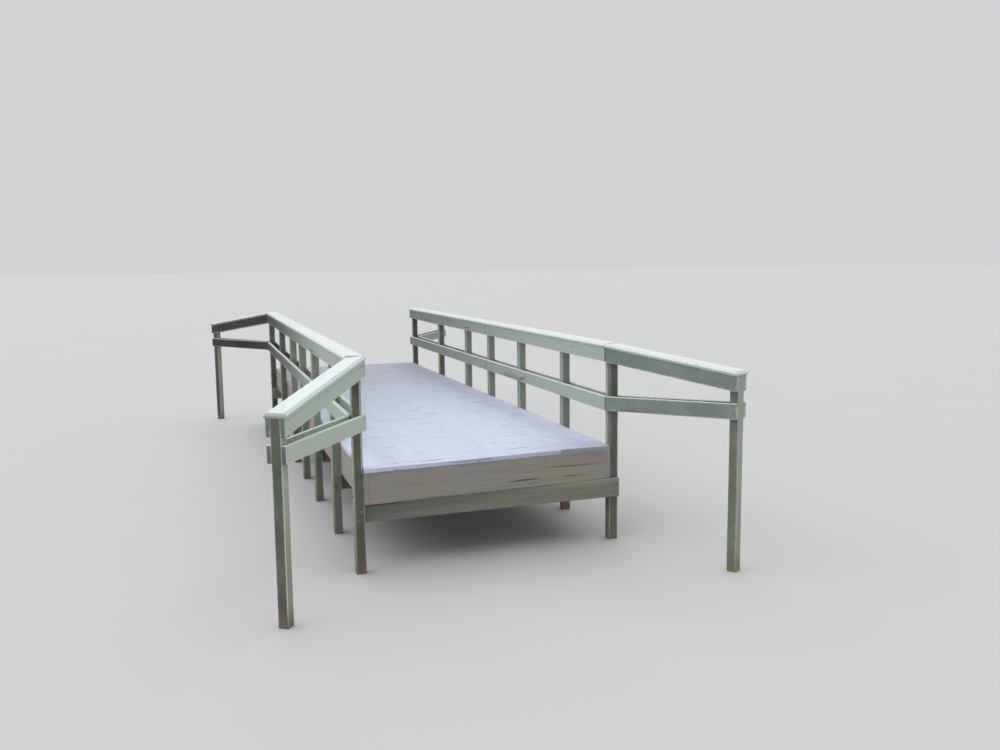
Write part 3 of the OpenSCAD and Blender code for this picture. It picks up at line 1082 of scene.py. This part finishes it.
def rail_spots(jitter):
    """Nails through the rail boards into the posts behind them."""
    spots = []
    for side in SIDES:
        posts = [middle_of(f"{side}_post_{n}") for n in range(1, POSTS_PER_SIDE + 1)]
        for level in ("top", "mid"):
            for board in node_boards(f"{side}_{level}_boards"):
                away = Vector((board.middle.x - posts[0].x, 0, 0))
                for post in posts:
                    station = board.local(post).x
                    if abs(station) < board.half.x + NAIL_INSET:
                        spots += rail_board_spots(board, station, away, jitter)
    for wing in WINGS:
        reach, side = wing.split("_")
        end = middle_of(f"{wing}_wing_post")
        corner = middle_of(f"{side}_post_{1 if reach == 'near' else POSTS_PER_SIDE}")
        line = (end - corner).to_2d().normalized()
        for board in node_boards(f"{wing}_wing_rails"):
            from_corner = (board.middle - corner).to_2d()
            away = (from_corner - line * from_corner.dot(line)).to_3d()
            for post in (end, corner):
                station = board.local(Vector((post.x, post.y, board.middle.z))).x
                spots += rail_board_spots(board, station, away, jitter)
    return spots


def cap_spots(jitter):
    """Nails down through the caps into the tops of the posts."""
    spots = []
    posts = [middle_of(node) for node in SIDE_POSTS + WING_POSTS]
    for node in CAP_NODES:
        for board in node_boards(node):
            for post in posts:
                station, aside, _ = board.local(Vector((post.x, post.y, board.middle.z)))
                if abs(station) < board.half.x and abs(aside) < board.half.y / 2:
                    spots += board_spots(board, station, UP, CAP_NAILS_APART, jitter)
    return spots


def deck_spots(jitter):
    """Two screws through each deck board into each stringer."""
    spots = []
    beams = sorted(board.middle.x for node in STRINGER_NODES for board in node_boards(node))
    for board in DECK_BOARDS:
        for beam in beams:
            for share in (-SCREWS_APART, SCREWS_APART):
                x, y = (jitter.uniform(-stray, stray) for stray in SCREW_STRAY)
                y += board.middle.y + share * BOARD_HALF.y
                spots.append((Vector((beam + x, y, DECK_HIGH.z - SCREW_DEPTH)), UP))
    return spots


def bolt_spots():
    """Bolts through the posts into the stringers and through the bearers into the posts."""
    heads, nuts = [], []
    for node in SIDE_POSTS:
        low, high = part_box(node)
        side = -1.0 if low.x < 0 else 1.0
        outer = high.x if side > 0 else low.x
        inner = DECK_HIGH.x - BEAM_THICKNESS if side > 0 else DECK_LOW.x + BEAM_THICKNESS
        for share, shift in zip(BOLT_HEIGHTS, STRINGER_BOLT_SHIFTS):
            height = STRINGER_LOW.z + share * (STRINGER_HIGH.z - STRINGER_LOW.z)
            y = (low.y + high.y) / 2 + shift
            heads.append((Vector((outer, y, height)), Vector((side, 0, 0))))
            nuts.append((Vector((inner, y, height)), Vector((-side, 0, 0))))
    for n, node in enumerate(BEARER_NODES, 1):
        low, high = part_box(node)
        for side in SIDES:
            post_low, post_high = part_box(f"{side}_post_{n}")
            before = low.y < post_low.y
            face = low.y if before else high.y
            back = post_high.y if before else post_low.y
            way = Vector((0, -1.0 if before else 1.0, 0))
            for share, shift in zip(BOLT_HEIGHTS, BEARER_BOLT_SHIFTS):
                x = (post_low.x + post_high.x) / 2 + shift
                height = low.z + share * (high.z - low.z)
                heads.append((Vector((x, face, height)), way))
                nuts.append((Vector((x, back, height)), -way))
    return heads, nuts


TAPERED_BOARD_TONE = 0.5


class FOOTBRIDGE_OT_deck_boards(bpy.types.Operator):
    """Lay the deck boards, each a little uneven"""

    bl_idname = "footbridge.deck_boards"
    bl_label = "Deck Boards"

    def execute(self, context):
        deck = context.scene.footbridge_deck
        material = finish_named(context, SLOT_FINISH["deck_paint"])
        piece = linked_object(context, "deck_planking", bpy.data.meshes.new("deck_planking"))
        values = {name.capitalize(): getattr(deck, name)
                  for name in DeckSettings.__annotations__}
        values["Start"] = ((DECK_LOW.x + DECK_HIGH.x) / 2, FIRST_Y,
                           DECK_HIGH.z - deck.thickness / 2)
        values["Pitch"] = (LAST_Y - FIRST_Y) / (deck.count - 1)
        values["Material"] = material
        deck_tree().run(context, piece, values)
        if len(piece.data.vertices) < deck.count:
            raise RuntimeError("the deck boards came out empty")
        finish_piece(piece, material, "deck_paint", "deck_boards")
        cut = Stock()
        for solid in node_solids("deck_boards"):
            if is_whole(Board(solid)):
                solid.free()
            else:
                add_worn(cut, solid, context.scene.footbridge_timber, deck.edge,
                         TAPERED_BOARD_TONE)
        name = "tapered_deck_board"
        finish_piece(linked_object(context, name, cut.mesh(name)), material, "deck_paint")
        return {"FINISHED"}


class FOOTBRIDGE_OT_posts(bpy.types.Operator):
    """Make the square posts with worn edges"""

    bl_idname = "footbridge.posts"
    bl_label = "Posts"

    def execute(self, context):
        dress_nodes(context, SIDE_POSTS + WING_POSTS, "post_edge", "rail_paint", POST_FINISH)
        return {"FINISHED"}


class FOOTBRIDGE_OT_rails(bpy.types.Operator):
    """Make the rail boards of the sides and the wings"""

    bl_idname = "footbridge.rails"
    bl_label = "Rail Boards"

    def execute(self, context):
        dress_nodes(context, RAIL_NODES + WING_RAIL_NODES, "rail_edge", "rail_paint")
        return {"FINISHED"}


class FOOTBRIDGE_OT_caps(bpy.types.Operator):
    """Make the chamfered caps of the sides and the wings"""

    bl_idname = "footbridge.caps"
    bl_label = "Caps"

    def execute(self, context):
        dress_nodes(context, CAP_NODES, "cap_edge", "rail_paint")
        return {"FINISHED"}


class FOOTBRIDGE_OT_under_frame(bpy.types.Operator):
    """Make the stringers, end headers and cross bearers under the deck"""

    bl_idname = "footbridge.under_frame"
    bl_label = "Under Frame"

    def execute(self, context):
        nodes = STRINGER_NODES + HEADER_NODES + BEARER_NODES
        dress_nodes(context, nodes, "beam_edge", "raw_timber")
        return {"FINISHED"}


class FOOTBRIDGE_OT_nails(bpy.types.Operator):
    """Drive the nails of the rails and caps and the screws of the deck"""

    bl_idname = "footbridge.nails"
    bl_label = "Nails and Screws"

    def execute(self, context):
        sizes = context.scene.footbridge_fasteners
        jitter = random.Random(NAIL_SEED)
        for name, spots in (("rail_nails", rail_spots), ("cap_nails", cap_spots)):
            fastener_piece(context, name, spots(jitter), "painted_nails", "rail_paint",
                           sizes.nail, NAIL)
        fastener_piece(context, "deck_screws", deck_spots(jitter), "painted_screws",
                       "deck_paint", sizes.screw, SCREW)
        return {"FINISHED"}


class FOOTBRIDGE_OT_bolts(bpy.types.Operator):
    """Put round bolt heads, washers and nuts where the frame is bolted to the posts"""

    bl_idname = "footbridge.bolts"
    bl_label = "Bolts"

    def execute(self, context):
        sizes = context.scene.footbridge_fasteners
        heads, nuts = bolt_spots()
        for name, spots, diameter, shape in (
                ("bolt_heads", heads, sizes.bolt, BOLT),
                ("bolt_washers", nuts, sizes.washer, WASHER),
                ("bolt_nuts", nuts, sizes.nut, NUT)):
            fastener_piece(context, name, spots, "galvanised_steel", "raw_timber",
                           diameter, shape)
        return {"FINISHED"}


LIGHTS = (
    # Name, place that it shines from, spread in degrees, strength setting and colour.
    ("key_light", (-0.15, 0.12, 1.0), 100.0, "key_strength", (1.0, 0.99, 0.97)),
    ("side_light", (-1.0, 0.15, 0.5), 70.0, "side_strength", (0.96, 0.98, 1.0)),
)
SKY_COLOUR = (0.97, 0.985, 1.0)
FLOOR_SIDES = 96


def camera_matrix(stage):
    """Place and directions of the camera from its turn, tilt and roll."""
    turns = ((-stage.turn, "Z"), (math.pi / 2 - stage.tilt, "X"), (stage.roll, "Z"))
    matrix = Matrix.Translation(stage.eye)
    for amount, axis in turns:
        matrix = matrix @ Matrix.Rotation(amount, 4, axis)
    return matrix


def soft_light(context, name, source, spread, strength, colour):
    """An even light from the direction of its source, as soft as its spread is wide."""
    data = bpy.data.lights.new(name, "SUN")
    data.angle = math.radians(spread)
    data.energy = strength
    data.color = colour
    light = linked_object(context, name, data)
    light.rotation_euler = (-Vector(source)).to_track_quat("-Z", "Y").to_euler()


def plain_floor(context, stage):
    """A round pale floor with a faint unevenness of tone."""
    shape = bmesh.new()
    bmesh.ops.create_circle(
        shape, cap_ends=True, segments=FLOOR_SIDES, radius=stage.floor_radius)
    mesh = bpy.data.meshes.new("floor")
    shape.to_mesh(mesh)
    shape.free()
    paint = Finish("plain_floor", stage.floor_colour)
    paint.ground(paint.world.noise(0.6, 2.0), stage.floor_colour, 0.985, 1.015)
    mesh.materials.append(paint.finished(0.9))
    linked_object(context, "floor", mesh)


class FOOTBRIDGE_OT_stage(bpy.types.Operator):
    """Set up the floor, the soft lights and the camera"""

    bl_idname = "footbridge.stage"
    bl_label = "Stage"

    def execute(self, context):
        scene = context.scene
        stage = scene.footbridge_stage
        data = bpy.data.cameras.new("camera")
        data.lens = stage.lens
        data.clip_end = 4 * stage.floor_radius
        scene.camera = linked_object(context, "camera", data)
        scene.camera.matrix_world = camera_matrix(stage)
        plain_floor(context, stage)
        for name, source, spread, strength, colour in LIGHTS:
            soft_light(context, name, source, spread, getattr(stage, strength), colour)
        world = bpy.data.worlds.new("studio")
        world.use_nodes = True
        background = world.node_tree.nodes["Background"]
        background.inputs["Color"].default_value = toned(SKY_COLOUR)
        background.inputs["Strength"].default_value = stage.sky
        scene.world = world
        scene.view_settings.view_transform = "Standard"
        return {"FINISHED"}


SECTIONS = (
    ("Deck", "footbridge_deck", DeckSettings, (FOOTBRIDGE_OT_deck_boards,)),
    ("Timber", "footbridge_timber", TimberSettings, (
        FOOTBRIDGE_OT_posts, FOOTBRIDGE_OT_rails, FOOTBRIDGE_OT_caps, FOOTBRIDGE_OT_under_frame)),
    ("Fasteners", "footbridge_fasteners", FastenerSettings, (
        FOOTBRIDGE_OT_nails, FOOTBRIDGE_OT_bolts)),
    ("Finish", "footbridge_finish", FinishSettings, ()),
    ("Stage", "footbridge_stage", StageSettings, (FOOTBRIDGE_OT_stage,)),
)


class FOOTBRIDGE_PT_panel(bpy.types.Panel):
    """Lists the footbridge's settings and its operators"""

    bl_idname = "FOOTBRIDGE_PT_panel"
    bl_label = "Timber Footbridge"
    bl_space_type = "VIEW_3D"
    bl_region_type = "UI"
    bl_category = "Footbridge"

    def draw(self, context):
        for title, group, kind, operators in SECTIONS:
            box = self.layout.box()
            box.label(text=title)
            for name in kind.__annotations__:
                box.prop(getattr(context.scene, group), name)
            for operator in operators:
                box.operator(operator.bl_idname)


CLASSES = (
    [kind for title, group, kind, operators in SECTIONS]
    + [operator for title, group, kind, operators in SECTIONS for operator in operators]
    + [FOOTBRIDGE_PT_panel])


def register():
    """Registers the settings, the operators and the panel."""
    for kind in CLASSES:
        bpy.utils.register_class(kind)
    for title, group, kind, operators in SECTIONS:
        setattr(bpy.types.Scene, group, PointerProperty(type=kind))


def unregister():
    """Takes back all that register did."""
    for title, group, kind, operators in SECTIONS:
        delattr(bpy.types.Scene, group)
    for kind in reversed(CLASSES):
        bpy.utils.unregister_class(kind)


def main():
    register()
    bpy.ops.footbridge.stage()
    bpy.ops.footbridge.deck_boards()
    bpy.ops.footbridge.posts()
    bpy.ops.footbridge.rails()
    bpy.ops.footbridge.caps()
    bpy.ops.footbridge.under_frame()
    bpy.ops.footbridge.nails()
    bpy.ops.footbridge.bolts()


if __name__ == "__main__":
    main()
